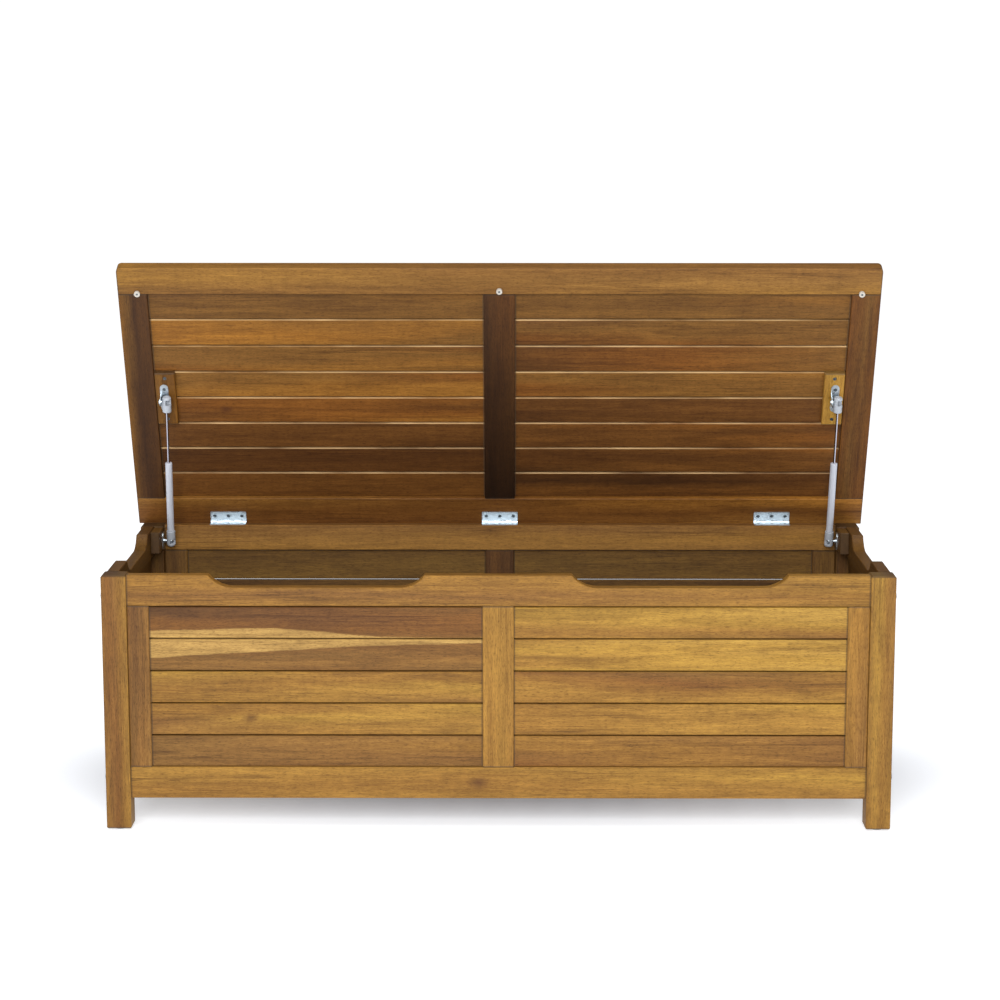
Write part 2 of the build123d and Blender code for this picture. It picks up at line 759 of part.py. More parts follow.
for side, sign in sides:
    strut_vector = upper_balls[side] - lower_balls[side]
    strut_length = strut_vector.length
    strut_plane = Plane(lower_balls[side], x_dir=(1, 0, 0), z_dir=strut_vector)
    upper_plane = Plane(upper_balls[side], x_dir=(1, 0, 0), z_dir=-strut_plane.z_dir)
    save(ball_socket(strut_plane, sign, lower_socket_tail, thread_radius), f"{side}_lower_socket")
    save(ball_socket(upper_plane, -1, upper_socket_tail, rod_radius), f"{side}_upper_socket")

    mouth = lower_socket_tail + tube_length
    with BuildPart() as tube:
        with BuildSketch(strut_plane.offset(lower_socket_tail)):
            Circle(tube_radius)
        extrude(amount=tube_length)
        fillet(tube.edges().filter_by(GeomType.CIRCLE), radius=tube_rounding)
        with BuildSketch(strut_plane.offset(lower_socket_tail + tube_end_wall)):
            Circle(tube_radius - tube_wall)
        extrude(amount=tube_length - 2 * tube_end_wall, mode=Mode.SUBTRACT)
        with BuildSketch(strut_plane.offset(mouth)):
            Circle(rod_radius + rod_clearance)
        extrude(amount=-2 * tube_end_wall, mode=Mode.SUBTRACT)
        with BuildSketch(strut_plane.offset(lower_socket_tail)):
            Circle(thread_radius)
        extrude(amount=-thread_depth)
    save(tube, f"{side}_strut_tube")

    piston_level = mouth - tube_end_wall - piston_from_mouth - piston_height
    rod_top = strut_length - upper_socket_tail + thread_depth
    with BuildPart() as rod:
        with BuildSketch(strut_plane.offset(piston_level)):
            Circle(rod_radius)
        extrude(amount=rod_top - piston_level)
    save(rod, f"{side}_strut_rod")

    with BuildPart() as piston:
        with BuildSketch(strut_plane.offset(piston_level)):
            Circle(tube_radius - tube_wall - rod_clearance)
            Circle(rod_radius, mode=Mode.SUBTRACT)
        extrude(amount=piston_height)
    save(piston, f"{side}_strut_piston")
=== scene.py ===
import math

import bpy
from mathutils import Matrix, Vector


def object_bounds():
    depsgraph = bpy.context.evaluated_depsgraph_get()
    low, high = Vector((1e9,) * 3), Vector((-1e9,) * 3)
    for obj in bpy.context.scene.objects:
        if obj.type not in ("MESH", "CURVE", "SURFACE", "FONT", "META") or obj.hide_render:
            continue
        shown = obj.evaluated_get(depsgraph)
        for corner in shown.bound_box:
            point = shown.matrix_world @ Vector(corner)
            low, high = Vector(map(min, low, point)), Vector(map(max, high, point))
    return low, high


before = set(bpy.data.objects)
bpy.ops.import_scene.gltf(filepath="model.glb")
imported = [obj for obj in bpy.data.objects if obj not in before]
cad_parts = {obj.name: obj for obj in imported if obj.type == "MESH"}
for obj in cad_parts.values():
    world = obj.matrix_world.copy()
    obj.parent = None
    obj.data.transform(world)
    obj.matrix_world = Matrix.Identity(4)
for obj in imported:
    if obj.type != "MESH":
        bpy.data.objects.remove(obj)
cad_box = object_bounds()

# ---------------------------------------------------------------------------
# Directions of the boards. The lid is open at rest, so its own direction leans
# back with it: LID_UP runs from the hinge to the free edge.
# ---------------------------------------------------------------------------
OPEN_ANGLE = math.radians(67)
ALONG = Vector((1, 0, 0))
BACK = Vector((0, 1, 0))
UP = Vector((0, 0, 1))
LID_UP = Vector((0, -math.cos(OPEN_ANGLE), math.sin(OPEN_ANGLE)))

# ---------------------------------------------------------------------------
# Tones of oiled acacia, as display colours from 0 to 255
# ---------------------------------------------------------------------------
TONES = {
    "sapwood": (204, 166, 112),
    "straw": (214, 172, 96),
    "gold": (197, 155, 78),
    "amber": (183, 139, 72),
    "honey": (170, 125, 64),
    "tan": (160, 117, 67),
    "brown": (149, 106, 60),
    "olive": (142, 104, 60),
    "russet": (147, 99, 52),
    "cocoa": (130, 87, 50),
    "umber": (115, 78, 46),
    "ochre": (160, 109, 47),
    "clay": (145, 100, 47),
    "moss": (124, 87, 45),
    "rust": (121, 76, 33),
    "bark": (97, 62, 30),
    "coffee": (80, 49, 23),
    "char": (60, 36, 18),
}
OIL_TINT = (1.0, 0.93, 0.60)
# painted highlight: colour of the lit upper edges of the lid's slats
EDGE_HIGHLIGHT = (212, 174, 122)
END_GRAIN = (84, 68, 52)
KNOT_CORE = (70, 38, 18)

# Gain of the tones in each part of the box, set so that the render is about as bright as the photo
FRONT_GAIN = 0.60
# painted shade: boards inside the box get this lower gain, which darkens them for the shade that falls
# inside
INSIDE_SHADE_GAIN = 0.34
LID_GAIN = 0.93


def linear(display, gain=1.0, tint=(1.0, 1.0, 1.0)):
    """A display colour as the shader's linear one, with a brightness gain and a tint."""
    values = []
    for value, share in zip(display, tint):
        value = value / 255
        value = value / 12.92 if value <= 0.04045 else ((value + 0.055) / 1.055) ** 2.4
        values.append(min(value * gain * share, 1.0))
    return (*values, 1.0)


def wood(tone, gain):
    """The shader's colour of a named tone of oiled wood."""
    return linear(TONES[tone], gain, OIL_TINT)


def grey(value, blue=0.0):
    """A linear grey, with a little blue added if asked."""
    return (value, value, value + blue, 1.0)


class Graph:
    """A material and short ways to add nodes to it."""

    def __init__(self, name):
        self.material = bpy.data.materials.new(name)
        self.material.use_nodes = True
        self.nodes = self.material.node_tree.nodes
        self.links = self.material.node_tree.links
        self.shader = self.nodes["Principled BSDF"]
        self.place = self.nodes.new("ShaderNodeTexCoord").outputs["Object"]

    def put(self, socket, value):
        """Set a socket to a number or colour, or link another node's output to it."""
        if isinstance(value, bpy.types.NodeSocket):
            self.links.new(value, socket)
        elif value is not None:
            socket.default_value = value

    def surface(self, name, value):
        """Set one of the shader's own inputs."""
        self.put(self.shader.inputs[name], value)

    def math(self, kind, first, second=None, third=None, clamp=False):
        node = self.nodes.new("ShaderNodeMath")
        node.operation = kind
        node.use_clamp = clamp
        for socket, value in zip(node.inputs, (first, second, third)):
            self.put(socket, value)
        return node.outputs[0]

    def dot(self, direction):
        """Distance of the shaded point from the origin along a direction, in metres."""
        node = self.nodes.new("ShaderNodeVectorMath")
        node.operation = "DOT_PRODUCT"
        self.put(node.inputs[0], self.place)
        self.put(node.inputs[1], tuple(direction))
        return node.outputs["Value"]

    def length(self, vector):
        node = self.nodes.new("ShaderNodeVectorMath")
        node.operation = "LENGTH"
        self.put(node.inputs[0], vector)
        return node.outputs["Value"]

    def vector(self, x, y, z):
        node = self.nodes.new("ShaderNodeCombineXYZ")
        for socket, value in zip(node.inputs, (x, y, z)):
            self.put(socket, value)
        return node.outputs[0]

    def noise(self, vector, scale=1.0, detail=2.0, roughness=0.5, distortion=0.0):
        node = self.nodes.new("ShaderNodeTexNoise")
        self.put(node.inputs["Vector"], vector)
        self.put(node.inputs["Scale"], scale)
        self.put(node.inputs["Detail"], detail)
        self.put(node.inputs["Roughness"], roughness)
        self.put(node.inputs["Distortion"], distortion)
        return node.outputs["Fac"]

    def ramp(self, factor, stops, interpolation="LINEAR"):
        node = self.nodes.new("ShaderNodeValToRGB")
        node.color_ramp.interpolation = interpolation
        elements = node.color_ramp.elements
        while len(elements) < len(stops):
            elements.new(1.0)
        for element, (position, colour) in zip(elements, stops):
            element.position = position
            element.color = colour
        self.put(node.inputs[0], factor)
        return node.outputs["Color"]

    def span(self, value, low, high, new_low=0.0, new_high=1.0):
        """Stretch low..high to new_low..new_high, clamped at both ends."""
        node = self.nodes.new("ShaderNodeMapRange")
        for socket, number in zip(node.inputs, (value, low, high, new_low, new_high)):
            self.put(socket, number)
        return node.outputs[0]

    def mix(self, factor, first, second, blend="MIX"):
        node = self.nodes.new("ShaderNodeMix")
        node.data_type = "RGBA"
        node.blend_type = blend
        factor_socket, first_socket, second_socket = node.inputs[0], node.inputs[6], node.inputs[7]
        self.put(factor_socket, factor)
        self.put(first_socket, first)
        self.put(second_socket, second)
        return node.outputs[2]

    def bump(self, height, strength, distance):
        node = self.nodes.new("ShaderNodeBump")
        self.put(node.inputs["Height"], height)
        self.put(node.inputs["Strength"], strength)
        self.put(node.inputs["Distance"], distance)
        self.surface("Normal", node.outputs["Normal"])


def dress(names, graph):
    """Give CAD nodes one material."""
    for name in names:
        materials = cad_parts[name].data.materials
        materials.clear()
        materials.append(graph.material)


# ---------------------------------------------------------------------------
# Acacia
# ---------------------------------------------------------------------------
# share of a board's width, at each edge, that the bands of colour never cross
BOARD_MARGIN = 0.004
# how far apart in the tree neighbouring boards are cut, in metres
BOARD_STEP = 7.31
# strength of the waves in the bands of colour
BAND_SWAY = 2.8
# depth of the end grain's darker tone, and where it has faded out, in metres
END_GRAIN_DEPTH = 0.0018
END_GRAIN_FADED = 0.0024


class Boards(Graph):
    """Material for boards side by side. It holds the places that their grain is drawn from."""

    def __init__(self, name, grain, across, low, pitch, width, seed):
        super().__init__(name)
        self.along = self.dot(grain)
        self.side = self.dot(across)

        # which board this is, and how far across it, from 0 to 1
        row = self.math("DIVIDE", self.math("SUBTRACT", self.side, low - (pitch - width) / 2), pitch)
        self.board = self.math("FLOOR", row)
        share = self.math("SUBTRACT", self.math("SUBTRACT", row, self.board), 0.5)
        self.share = self.math("MULTIPLY_ADD", share, pitch / width, 0.5, clamp=True)

        # each board is cut from its own place in the tree
        self.cut = self.math("MULTIPLY_ADD", self.board, BOARD_STEP, seed)
        self.run = self.math("ADD", self.along, self.cut)
        self.deep = self.math("ADD", self.dot(grain.cross(across)), self.cut)

    def stretches(self, run_scale, detail, roughness):
        """Noise that changes only along the boards."""
        run = self.math("MULTIPLY", self.run, run_scale)
        return self.noise(self.vector(run, self.cut, 0.0), 1.0, detail, roughness)

    def patches(self, run_scale, side_scale, detail, roughness=0.5):
        """Noise that changes along and across the boards."""
        run = self.math("MULTIPLY", self.run, run_scale)
        side = self.math("MULTIPLY", self.side, side_scale)
        return self.noise(self.vector(run, side, self.cut), 1.0, detail, roughness)

    def grain_noise(self, run_scale, side_scale, detail, roughness, distortion, shift=0.0):
        """Noise that changes in all three directions, drawn out along the boards."""
        run = self.math("MULTIPLY", self.run, run_scale)
        side = self.math("MULTIPLY_ADD", self.side, side_scale, shift)
        deep = self.math("MULTIPLY", self.deep, side_scale)
        return self.noise(self.vector(run, side, deep), 1.0, detail, roughness, distortion)


def profile_stops(rows, gain, fade):
    """Colour ramp stops for boards in a row, each with its tones from its low to its high edge.
    The last argument holds the extra gain of the first and the last board, a painted gradient of light and
    shade across the row."""
    stops = []
    for board, tones in enumerate(rows):
        tones = tones.split()
        tones = tones * 2 if len(tones) == 1 else tones
        for step, tone in enumerate(tones):
            share = BOARD_MARGIN + (1 - 2 * BOARD_MARGIN) * step / (len(tones) - 1)
            place = (board + share) / len(rows)
            stops.append((place, wood(tone, gain * (fade[0] + (fade[1] - fade[0]) * place))))
    return stops


def band_place(boards, count):
    """Place over all the boards, from 0 to 1, that soft waves move within each board."""
    sway = boards.math("SUBTRACT", boards.stretches(run_scale=2.6, detail=2.0, roughness=0.5), 0.5)
    ripple = boards.patches(run_scale=16.0, side_scale=60.0, detail=2.0, roughness=0.6)
    ripple = boards.math("SUBTRACT", ripple, 0.5)
    sway = boards.math("MULTIPLY_ADD", ripple, 0.35, sway)
    middle = boards.math("MULTIPLY", boards.share, boards.math("SUBTRACT", 1.0, boards.share))
    moved = boards.math("MULTIPLY", boards.math("MULTIPLY", middle, BAND_SWAY), sway)
    band = boards.math("ADD", boards.share, moved, clamp=True)
    band = boards.math("MINIMUM", boards.math("MAXIMUM", band, BOARD_MARGIN), 1 - BOARD_MARGIN)
    return boards.math("DIVIDE", boards.math("ADD", boards.board, band), float(count))


def board_tones(boards, columns, ends, gain, fade):
    """Colour of the boards, which changes slowly from one end to the other."""
    where = band_place(boards, len(columns[0]))
    stretch = (ends[1] - ends[0]) / max(len(columns) - 1, 1)
    drift = boards.patches(run_scale=5.0, side_scale=55.0, detail=3.0, roughness=0.6)
    drift = boards.math("MULTIPLY", boards.math("SUBTRACT", drift, 0.5), 0.9)
    colour = boards.ramp(where, profile_stops(columns[0], gain, fade))
    for step, column in enumerate(columns[1:]):
        start = ends[0] + stretch * step
        reach = boards.math("DIVIDE", boards.math("SUBTRACT", boards.along, start), stretch)
        reach = boards.math("ADD", reach, drift, clamp=True)
        colour = boards.mix(reach, colour, boards.ramp(where, profile_stops(column, gain, fade)))
    return colour


def grain_light(boards, fibre, dark_pore):
    """How much the grain lightens or darkens the tones: broad figure, fibres, a faint ripple
    across the grain, short dark pores, and dark heartwood lines in some places."""
    figure = boards.grain_noise(run_scale=5.0, side_scale=65.0, detail=5.0, roughness=0.68, distortion=0.8)
    cross = boards.grain_noise(run_scale=55.0, side_scale=18.0, detail=3.0, roughness=0.6, distortion=1.0,
                               shift=3.0)
    light = boards.span(figure, 0.32, 0.68, 0.72, 1.22)
    light = boards.math("MULTIPLY", light, boards.span(fibre, 0.32, 0.68, 0.80, 1.18))
    light = boards.math("MULTIPLY", light, boards.span(cross, 0.3, 0.7, 0.94, 1.06))
    light = boards.math("MULTIPLY", light, dark_pore)

    lines = boards.grain_noise(run_scale=2.2, side_scale=150.0, detail=2.0, roughness=0.5, distortion=0.8,
                               shift=21.0)
    lines = boards.math("ABSOLUTE", boards.math("SUBTRACT", lines, 0.5))
    lines = boards.span(lines, 0.0, 0.03, 0.58, 1.0)
    amount = boards.span(boards.patches(run_scale=3.0, side_scale=30.0, detail=1.0), 0.42, 0.62)
    lines = boards.math("MULTIPLY_ADD", boards.math("SUBTRACT", lines, 1.0), amount, 1.0)
    return boards.math("MULTIPLY", light, lines)


def add_sapwood(boards, colour, board, from_top, outline, length, fibre, shade, gain):
    """Pale sapwood along one edge of one board. outline lists (place along the board, share of
    its width), and the sapwood has a dark rim toward the heartwood."""
    edge = boards.math("SUBTRACT", 1.0, boards.share) if from_top else boards.share
    reach = boards.ramp(length, [(at, grey(width)) for at, width in outline], "B_SPLINE")
    edge = boards.math("SUBTRACT", edge, reach)
    edge = boards.math("MULTIPLY_ADD", boards.math("SUBTRACT", fibre, 0.5), 0.16, edge)
    here = boards.math("COMPARE", boards.board, float(board), 0.5)
    rim = boards.math("MULTIPLY", boards.span(edge, 0.0, 0.16, 0.34, 0.0), here)
    rim = boards.math("MULTIPLY", rim, boards.span(reach, 0.02, 0.06))
    colour = boards.mix(rim, colour, wood("umber", gain))
    pale = boards.math("MULTIPLY", boards.span(edge, -0.02, 0.02, 1.0, 0.0), here)
    return boards.mix(pale, colour, boards.mix(1.0, wood("sapwood", gain), shade, "MULTIPLY"))


def add_knot(graph, colour, grain, across, centre, radius):
    """A small knot: a dark core with a ragged edge, drawn out along the grain."""
    centre = Vector(centre)
    run = graph.math("SUBTRACT", graph.dot(grain), centre.dot(grain))
    side = graph.math("SUBTRACT", graph.dot(across), centre.dot(across))
    run = graph.math("DIVIDE", run, radius * 1.7)
    side = graph.math("DIVIDE", side, radius)
    squares = graph.math("ADD", graph.math("MULTIPLY", run, run), graph.math("MULTIPLY", side, side))
    rough = graph.vector(graph.math("MULTIPLY", run, 1.5), graph.math("MULTIPLY", side, 3.0), 0.0)
    reach = graph.math("MULTIPLY_ADD", graph.noise(rough), 0.6, graph.math("SQRT", squares))
    return graph.mix(graph.span(reach, 0.4, 1.7, 0.75, 0.0), colour, linear(KNOT_CORE))


def acacia(name, grain, across, columns, low, pitch, width, ends, seed=0.0, gain=1.0,
           knots=(), worn_edge=False, fade=(1.0, 1.0), sapwood=()):
    """Oiled acacia boards side by side. columns lists the boards' tones at places along them,
    low, pitch and width place the boards across, and ends are the two ends along the grain."""
    boards = Boards(name, grain, across, low, pitch, width, seed)
    fibre = boards.grain_noise(run_scale=45.0, side_scale=520.0, detail=3.0, roughness=0.7, distortion=0.3,
                               shift=5.0)
    pores = boards.grain_noise(run_scale=150.0, side_scale=900.0, detail=2.0, roughness=0.6, distortion=0.2,
                               shift=9.0)
    dark_pore = boards.span(pores, 0.54, 0.66, 1.0, 0.62)

    # dark grain is a little redder than light grain
    light = grain_light(boards, fibre, dark_pore)
    shade = boards.vector(light, boards.math("POWER", light, 1.12), boards.math("POWER", light, 1.25))
    colour = boards.mix(1.0, board_tones(boards, columns, ends, gain, fade), shade, "MULTIPLY")

    for centre, radius in knots:
        colour = add_knot(boards, colour, grain, across, centre, radius)
    from_start = boards.math("SUBTRACT", boards.along, ends[0])
    length = boards.math("DIVIDE", from_start, ends[1] - ends[0])
    for board, from_top, outline in sapwood:
        colour = add_sapwood(boards, colour, board, from_top, outline, length, fibre, shade, gain)

    # painted highlight: pale upper edges of the slats, which show as light lines at the joints and stand in
    # for the light that catches those edges
    if worn_edge:
        rim = boards.span(boards.share, 0.965, 0.985)
        worn = boards.span(boards.stretches(run_scale=5.0, detail=3.0, roughness=0.6), 0.38, 0.62, 0.1, 0.8)
        colour = boards.mix(boards.math("MULTIPLY", rim, worn), colour, linear(EDGE_HIGHLIGHT, gain))

    # end grain drinks more oil
    reach = boards.math("MINIMUM", from_start, boards.math("SUBTRACT", ends[1], boards.along))
    tip = boards.span(reach, END_GRAIN_DEPTH, END_GRAIN_FADED, 1.0, 0.0)
    colour = boards.mix(tip, colour, boards.mix(0.55, colour, linear(END_GRAIN, gain)))

    boards.surface("Base Color", colour)
    boards.surface("Roughness", boards.span(fibre, 0.2, 0.8, 0.46, 0.62))
    boards.surface("Specular IOR Level", 0.22)
    boards.bump(boards.math("MULTIPLY_ADD", dark_pore, 0.6, fibre), strength=0.22, distance=0.0004)
    return boards


def place_of(names, direction):
    """Lowest and highest place of CAD nodes along a direction, from their vertices."""
    places = [v.co.dot(direction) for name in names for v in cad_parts[name].data.vertices]
    return min(places), max(places)


def board_panel(name, grain, across, columns, gain=1.0, gap=0.0025, **looks):
    """Acacia for a node whose boards lie side by side and fill the span across."""
    low, high = place_of([name], across)
    pitch = (high - low + gap) / len(columns[0])
    graph = acacia("acacia_" + name, grain, across, columns, low, pitch, pitch - gap,
                   place_of([name], grain), gain=gain, **looks)
    dress([name], graph)


def single_board(names, grain, across, columns, gain=1.0, **looks):
    """Acacia for nodes that are one board each."""
    for index, name in enumerate(names):
        low, high = place_of([name], across)
        graph = acacia("acacia_" + name, grain, across, columns, low, high - low, high - low,
                       place_of([name], grain), gain=gain, seed=3.7 * index + len(name), **looks)
        dress([name], graph)


def stile_set(name, columns, seed, gain):
    """Acacia for a node that holds both end stiles and the centre stile of a panel."""
    centre_stile = 0.05
    end_stile = 0.035
    low, high = place_of([name], ALONG)
    pitch = (high - low - end_stile) / 2
    graph = acacia("acacia_" + name, UP, ALONG, columns, -pitch * 1.5 + (pitch - centre_stile) / 2, pitch,
                   centre_stile, place_of([name], UP), seed=seed, gain=gain)
    dress([name], graph)


# ---------------------------------------------------------------------------
# Tones of the slats. Each row of a table is one place along the slats, from the
# left end to the right end. It names the tones of each slat, from the bottom slat
# up, or on the lid from the hinge to the free edge.
# ---------------------------------------------------------------------------
FRONT_LEFT = (
    ("olive olive olive olive", "tan tan brown honey honey", "honey honey honey amber gold",
     "olive tan olive tan brown", "brown russet russet umber umber"),
    ("brown tan tan tan tan", "honey amber gold honey honey", "amber amber honey honey",
     "brown tan olive brown brown", "brown russet cocoa cocoa cocoa"),
    ("olive brown honey tan", "amber amber amber gold gold", "tan amber gold honey honey",
     "olive tan brown brown brown", "brown russet russet russet brown"),
)
FRONT_RIGHT = (
    ("russet brown honey honey", "honey honey honey honey", "honey amber honey russet",
     "gold honey amber gold amber", "honey honey amber gold gold"),
    ("honey honey honey tan", "amber amber amber amber", "amber honey russet olive",
     "gold gold gold gold straw", "amber honey gold gold gold"),
    ("brown brown brown brown", "amber amber amber gold", "amber amber honey honey",
     "straw gold straw gold straw", "brown honey gold straw straw"),
)
LID_LEFT = (
    ("bark bark bark bark", "coffee coffee coffee coffee", "bark bark bark bark",
     "bark bark rust rust", "clay moss moss moss", "rust moss moss moss",
     "ochre ochre ochre ochre", "moss moss moss umber"),
    ("bark bark bark bark", "coffee coffee coffee coffee", "bark bark bark bark",
     "rust rust rust rust", "clay clay moss moss", "clay moss moss moss",
     "clay ochre clay clay", "moss moss moss moss"),
    ("bark bark bark bark", "coffee coffee coffee coffee", "coffee bark bark bark",
     "clay rust bark rust", "clay clay rust rust", "moss clay moss rust",
     "moss moss clay clay", "moss moss moss clay"),
)
LID_RIGHT = (
    ("coffee bark char coffee", "char coffee coffee coffee", "bark bark bark bark",
     "coffee coffee bark bark", "rust rust moss moss", "bark bark bark bark",
     "bark rust moss umber", "moss moss moss moss"),
    ("bark bark char coffee", "bark bark coffee bark", "bark bark bark rust",
     "bark bark bark bark", "moss moss moss moss", "rust rust rust rust",
     "rust moss moss moss", "moss moss moss moss"),
    ("coffee bark coffee coffee", "bark bark bark rust", "bark rust bark rust",
     "bark bark bark bark", "moss moss moss clay", "moss moss moss moss",
     "moss moss moss moss", "moss moss clay moss"),
)
BACK_SLATS = (
    ("honey amber honey", "amber honey brown", "brown honey amber", "honey brown brown",
     "amber honey honey"),
    ("amber honey brown", "honey brown amber", "amber gold honey", "brown honey honey", "honey amber honey"),
)
SIDE_SLATS = (
    ("brown honey amber", "honey amber gold", "russet brown honey", "amber gold honey", "brown tan honey"),
    ("honey honey amber", "amber gold honey", "brown russet brown", "gold amber amber", "tan brown honey"),
)
FLOOR_SLATS = (("brown", "honey", "tan", "russet", "olive") * 3,)

# Sapwood of the front left slats: which slat, whether it lies along the top edge, and its outline
FRONT_SAPWOOD = (
    (4, False, ((0.0, 0.22), (0.2, 0.27), (0.35, 0.36), (0.55, 0.16), (0.72, 0.0), (1.0, 0.0))),
    (3, True, ((0.0, 0.62), (0.15, 0.5), (0.4, 0.36), (0.6, 0.22), (0.85, 0.14), (1.0, 0.12))),
)

# Knots: centre and radius, in metres
FRONT_SLAT_KNOT = ((-0.399, 0.0, 0.186), 0.007)
LID_SLAT_KNOT = ((-0.475, 0.138, 0.631), 0.006)
BOTTOM_RAIL_KNOT = ((-0.032, 0.0, 0.079), 0.009)

# ---------------------------------------------------------------------------
# Slats
# ---------------------------------------------------------------------------
board_panel("front_left_slats", ALONG, UP, FRONT_LEFT, gain=FRONT_GAIN, fade=(0.97, 0.88), seed=1.0,
            knots=(FRONT_SLAT_KNOT,), sapwood=FRONT_SAPWOOD)
board_panel("front_right_slats", ALONG, UP, FRONT_RIGHT, gain=FRONT_GAIN, fade=(1.02, 0.9), seed=2.0)
# painted shade: the back slats are darker still, for the shade under the front rail
board_panel("back_left_slats", ALONG, UP, BACK_SLATS, gain=INSIDE_SHADE_GAIN * 0.85, seed=3.0)
board_panel("back_right_slats", ALONG, UP, BACK_SLATS[::-1], gain=INSIDE_SHADE_GAIN * 0.85, seed=4.0)
# painted shade: the side slats get a lower gain, which darkens them for the shade inside the box
board_panel("left_slats", BACK, UP, SIDE_SLATS, gain=FRONT_GAIN * 0.6, seed=5.0)
board_panel("right_slats", BACK, UP, SIDE_SLATS[::-1], gain=FRONT_GAIN * 0.6, seed=6.0)
# painted light: the lid's boards are brighter near the hinge and darker toward the free edge
board_panel("lid_left_slats", ALONG, LID_UP, LID_LEFT, gain=LID_GAIN, fade=(1.25, 0.70), seed=7.0,
            knots=(LID_SLAT_KNOT,), worn_edge=True)
board_panel("lid_right_slats", ALONG, LID_UP, LID_RIGHT, gain=LID_GAIN, fade=(1.25, 0.74), seed=8.0,
            worn_edge=True)
board_panel("floor_slats", BACK, ALONG, FLOOR_SLATS, gap=0.01, gain=INSIDE_SHADE_GAIN, seed=9.0)

# ---------------------------------------------------------------------------
# Rails, legs, stiles and blocks, with their tones at places along the board
# ---------------------------------------------------------------------------
single_board(["front_top_rail"], ALONG, UP,
             (("honey brown honey honey",), ("honey brown honey honey",), ("amber honey amber amber",)),
             gain=FRONT_GAIN * 0.97)
single_board(["front_bottom_rail"], ALONG, UP,
             (("honey honey amber amber",), ("amber honey honey amber",), ("honey amber gold amber",)),
             gain=FRONT_GAIN * 0.98, knots=(BOTTOM_RAIL_KNOT,))
single_board(["back_top_rail", "back_bottom_rail"], ALONG, UP,
             (("honey tan brown",), ("tan honey brown",)), gain=FRONT_GAIN * 1.1)
# painted shade: the side rails get a lower gain for the shade inside the box
single_board(["left_top_rail", "right_top_rail", "left_bottom_rail", "right_bottom_rail"], BACK, UP,
             (("honey tan brown",), ("tan honey brown",)), gain=FRONT_GAIN * 0.62)
single_board(["floor_bearers"], ALONG, BACK, (("brown tan honey brown",),), gain=INSIDE_SHADE_GAIN)
single_board(["front_left_leg"], UP, ALONG,
             (("honey brown russet honey amber",), ("brown russet brown honey amber",)),
             gain=FRONT_GAIN * 0.86)
# painted shade: the rear legs get a lower gain for the shade inside the box
single_board(["rear_left_leg", "rear_right_leg"], UP, ALONG,
             (("honey brown russet honey brown",), ("brown russet brown honey brown",)),
             gain=FRONT_GAIN * 0.58)
single_board(["front_right_leg"], UP, ALONG,
             (("honey amber honey amber",), ("amber gold honey tan",)), gain=FRONT_GAIN * 0.9)
single_board(["lid_front_rail"], ALONG, LID_UP,
             (("brown honey honey",), ("brown tan brown",), ("honey tan brown",)), gain=LID_GAIN * 0.66)
single_board(["lid_rear_rail"], ALONG, LID_UP,
             (("bark bark moss",), ("bark bark bark",), ("moss bark clay",)), gain=LID_GAIN * 1.3)
single_board(["lid_left_stile"], LID_UP, ALONG,
             (("clay bark coffee coffee bark",), ("clay moss coffee bark bark",)), gain=LID_GAIN * 0.6)
single_board(["lid_right_stile"], LID_UP, ALONG,
             (("rust moss rust rust",), ("rust rust moss rust",)), gain=LID_GAIN * 0.65)
single_board(["lid_centre_stile"], LID_UP, ALONG,
             (("char char char",), ("coffee coffee bark",), ("bark rust rust",)), gain=LID_GAIN * 0.42)
single_board(["left_lid_cleat"], LID_UP, ALONG, (("clay clay ochre",),), gain=LID_GAIN * 0.5)
single_board(["right_lid_cleat"], LID_UP, ALONG, (("amber gold amber",),), gain=LID_GAIN * 0.72)
single_board(["left_strut_block", "right_strut_block"], BACK, UP, (("brown tan",),), gain=INSIDE_SHADE_GAIN)
stile_set("front_stiles", (
    ("brown olive brown tan olive", "honey honey amber honey", "tan honey tan tan"),
    ("brown umber tan olive", "amber amber amber amber", "amber honey honey honey"),
), seed=11.0, gain=FRONT_GAIN)
stile_set("back_stiles", (("tan brown honey", "cocoa russet cocoa", "brown honey tan"),),
          seed=12.0, gain=INSIDE_SHADE_GAIN)


# ---------------------------------------------------------------------------
# Metal and plastic
# ---------------------------------------------------------------------------
def zinc(name, dark, light):
    """Zinc plate: bluish silver with a faint cloudy passivation."""
    graph = Graph(name)
    cloud = graph.noise(graph.place, scale=180.0, detail=3.0, roughness=0.6)
    graph.surface("Base Color", graph.mix(cloud, linear(dark), linear(light)))
    graph.surface("Metallic", 1.0)
    graph.surface("Roughness", graph.span(cloud, 0.3, 0.7, 0.26, 0.42))
    graph.bump(graph.noise(graph.place, scale=900.0), strength=0.08, distance=0.0002)
    return graph


def chrome(name, dark, light):
    """Bright chrome with faint differences in gloss."""
    graph = Graph(name)
    streak = graph.noise(graph.place, scale=400.0)
    graph.surface("Base Color", graph.mix(streak, linear(dark), linear(light)))
    graph.surface("Metallic", 1.0)
    graph.surface("Roughness", graph.span(streak, 0.3, 0.7, 0.12, 0.2))
    return graph


def paint(name, dark, light, roughness, grit, depth):
    """Paint or moulded plastic with a slight mottle and a fine texture."""
    graph = Graph(name)
    mottle = graph.noise(graph.place, scale=60.0, detail=3.0, roughness=0.6)
    graph.surface("Base Color", graph.mix(mottle, linear(dark), linear(light)))
    graph.surface("Roughness", graph.span(mottle, 0.3, 0.7, roughness - 0.04, roughness + 0.05))
    graph.bump(graph.noise(graph.place, scale=grit), strength=0.15, distance=depth)
    return graph


def named(*endings):
    """CAD nodes whose names end in one of the endings."""
    return [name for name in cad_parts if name.endswith(endings)]


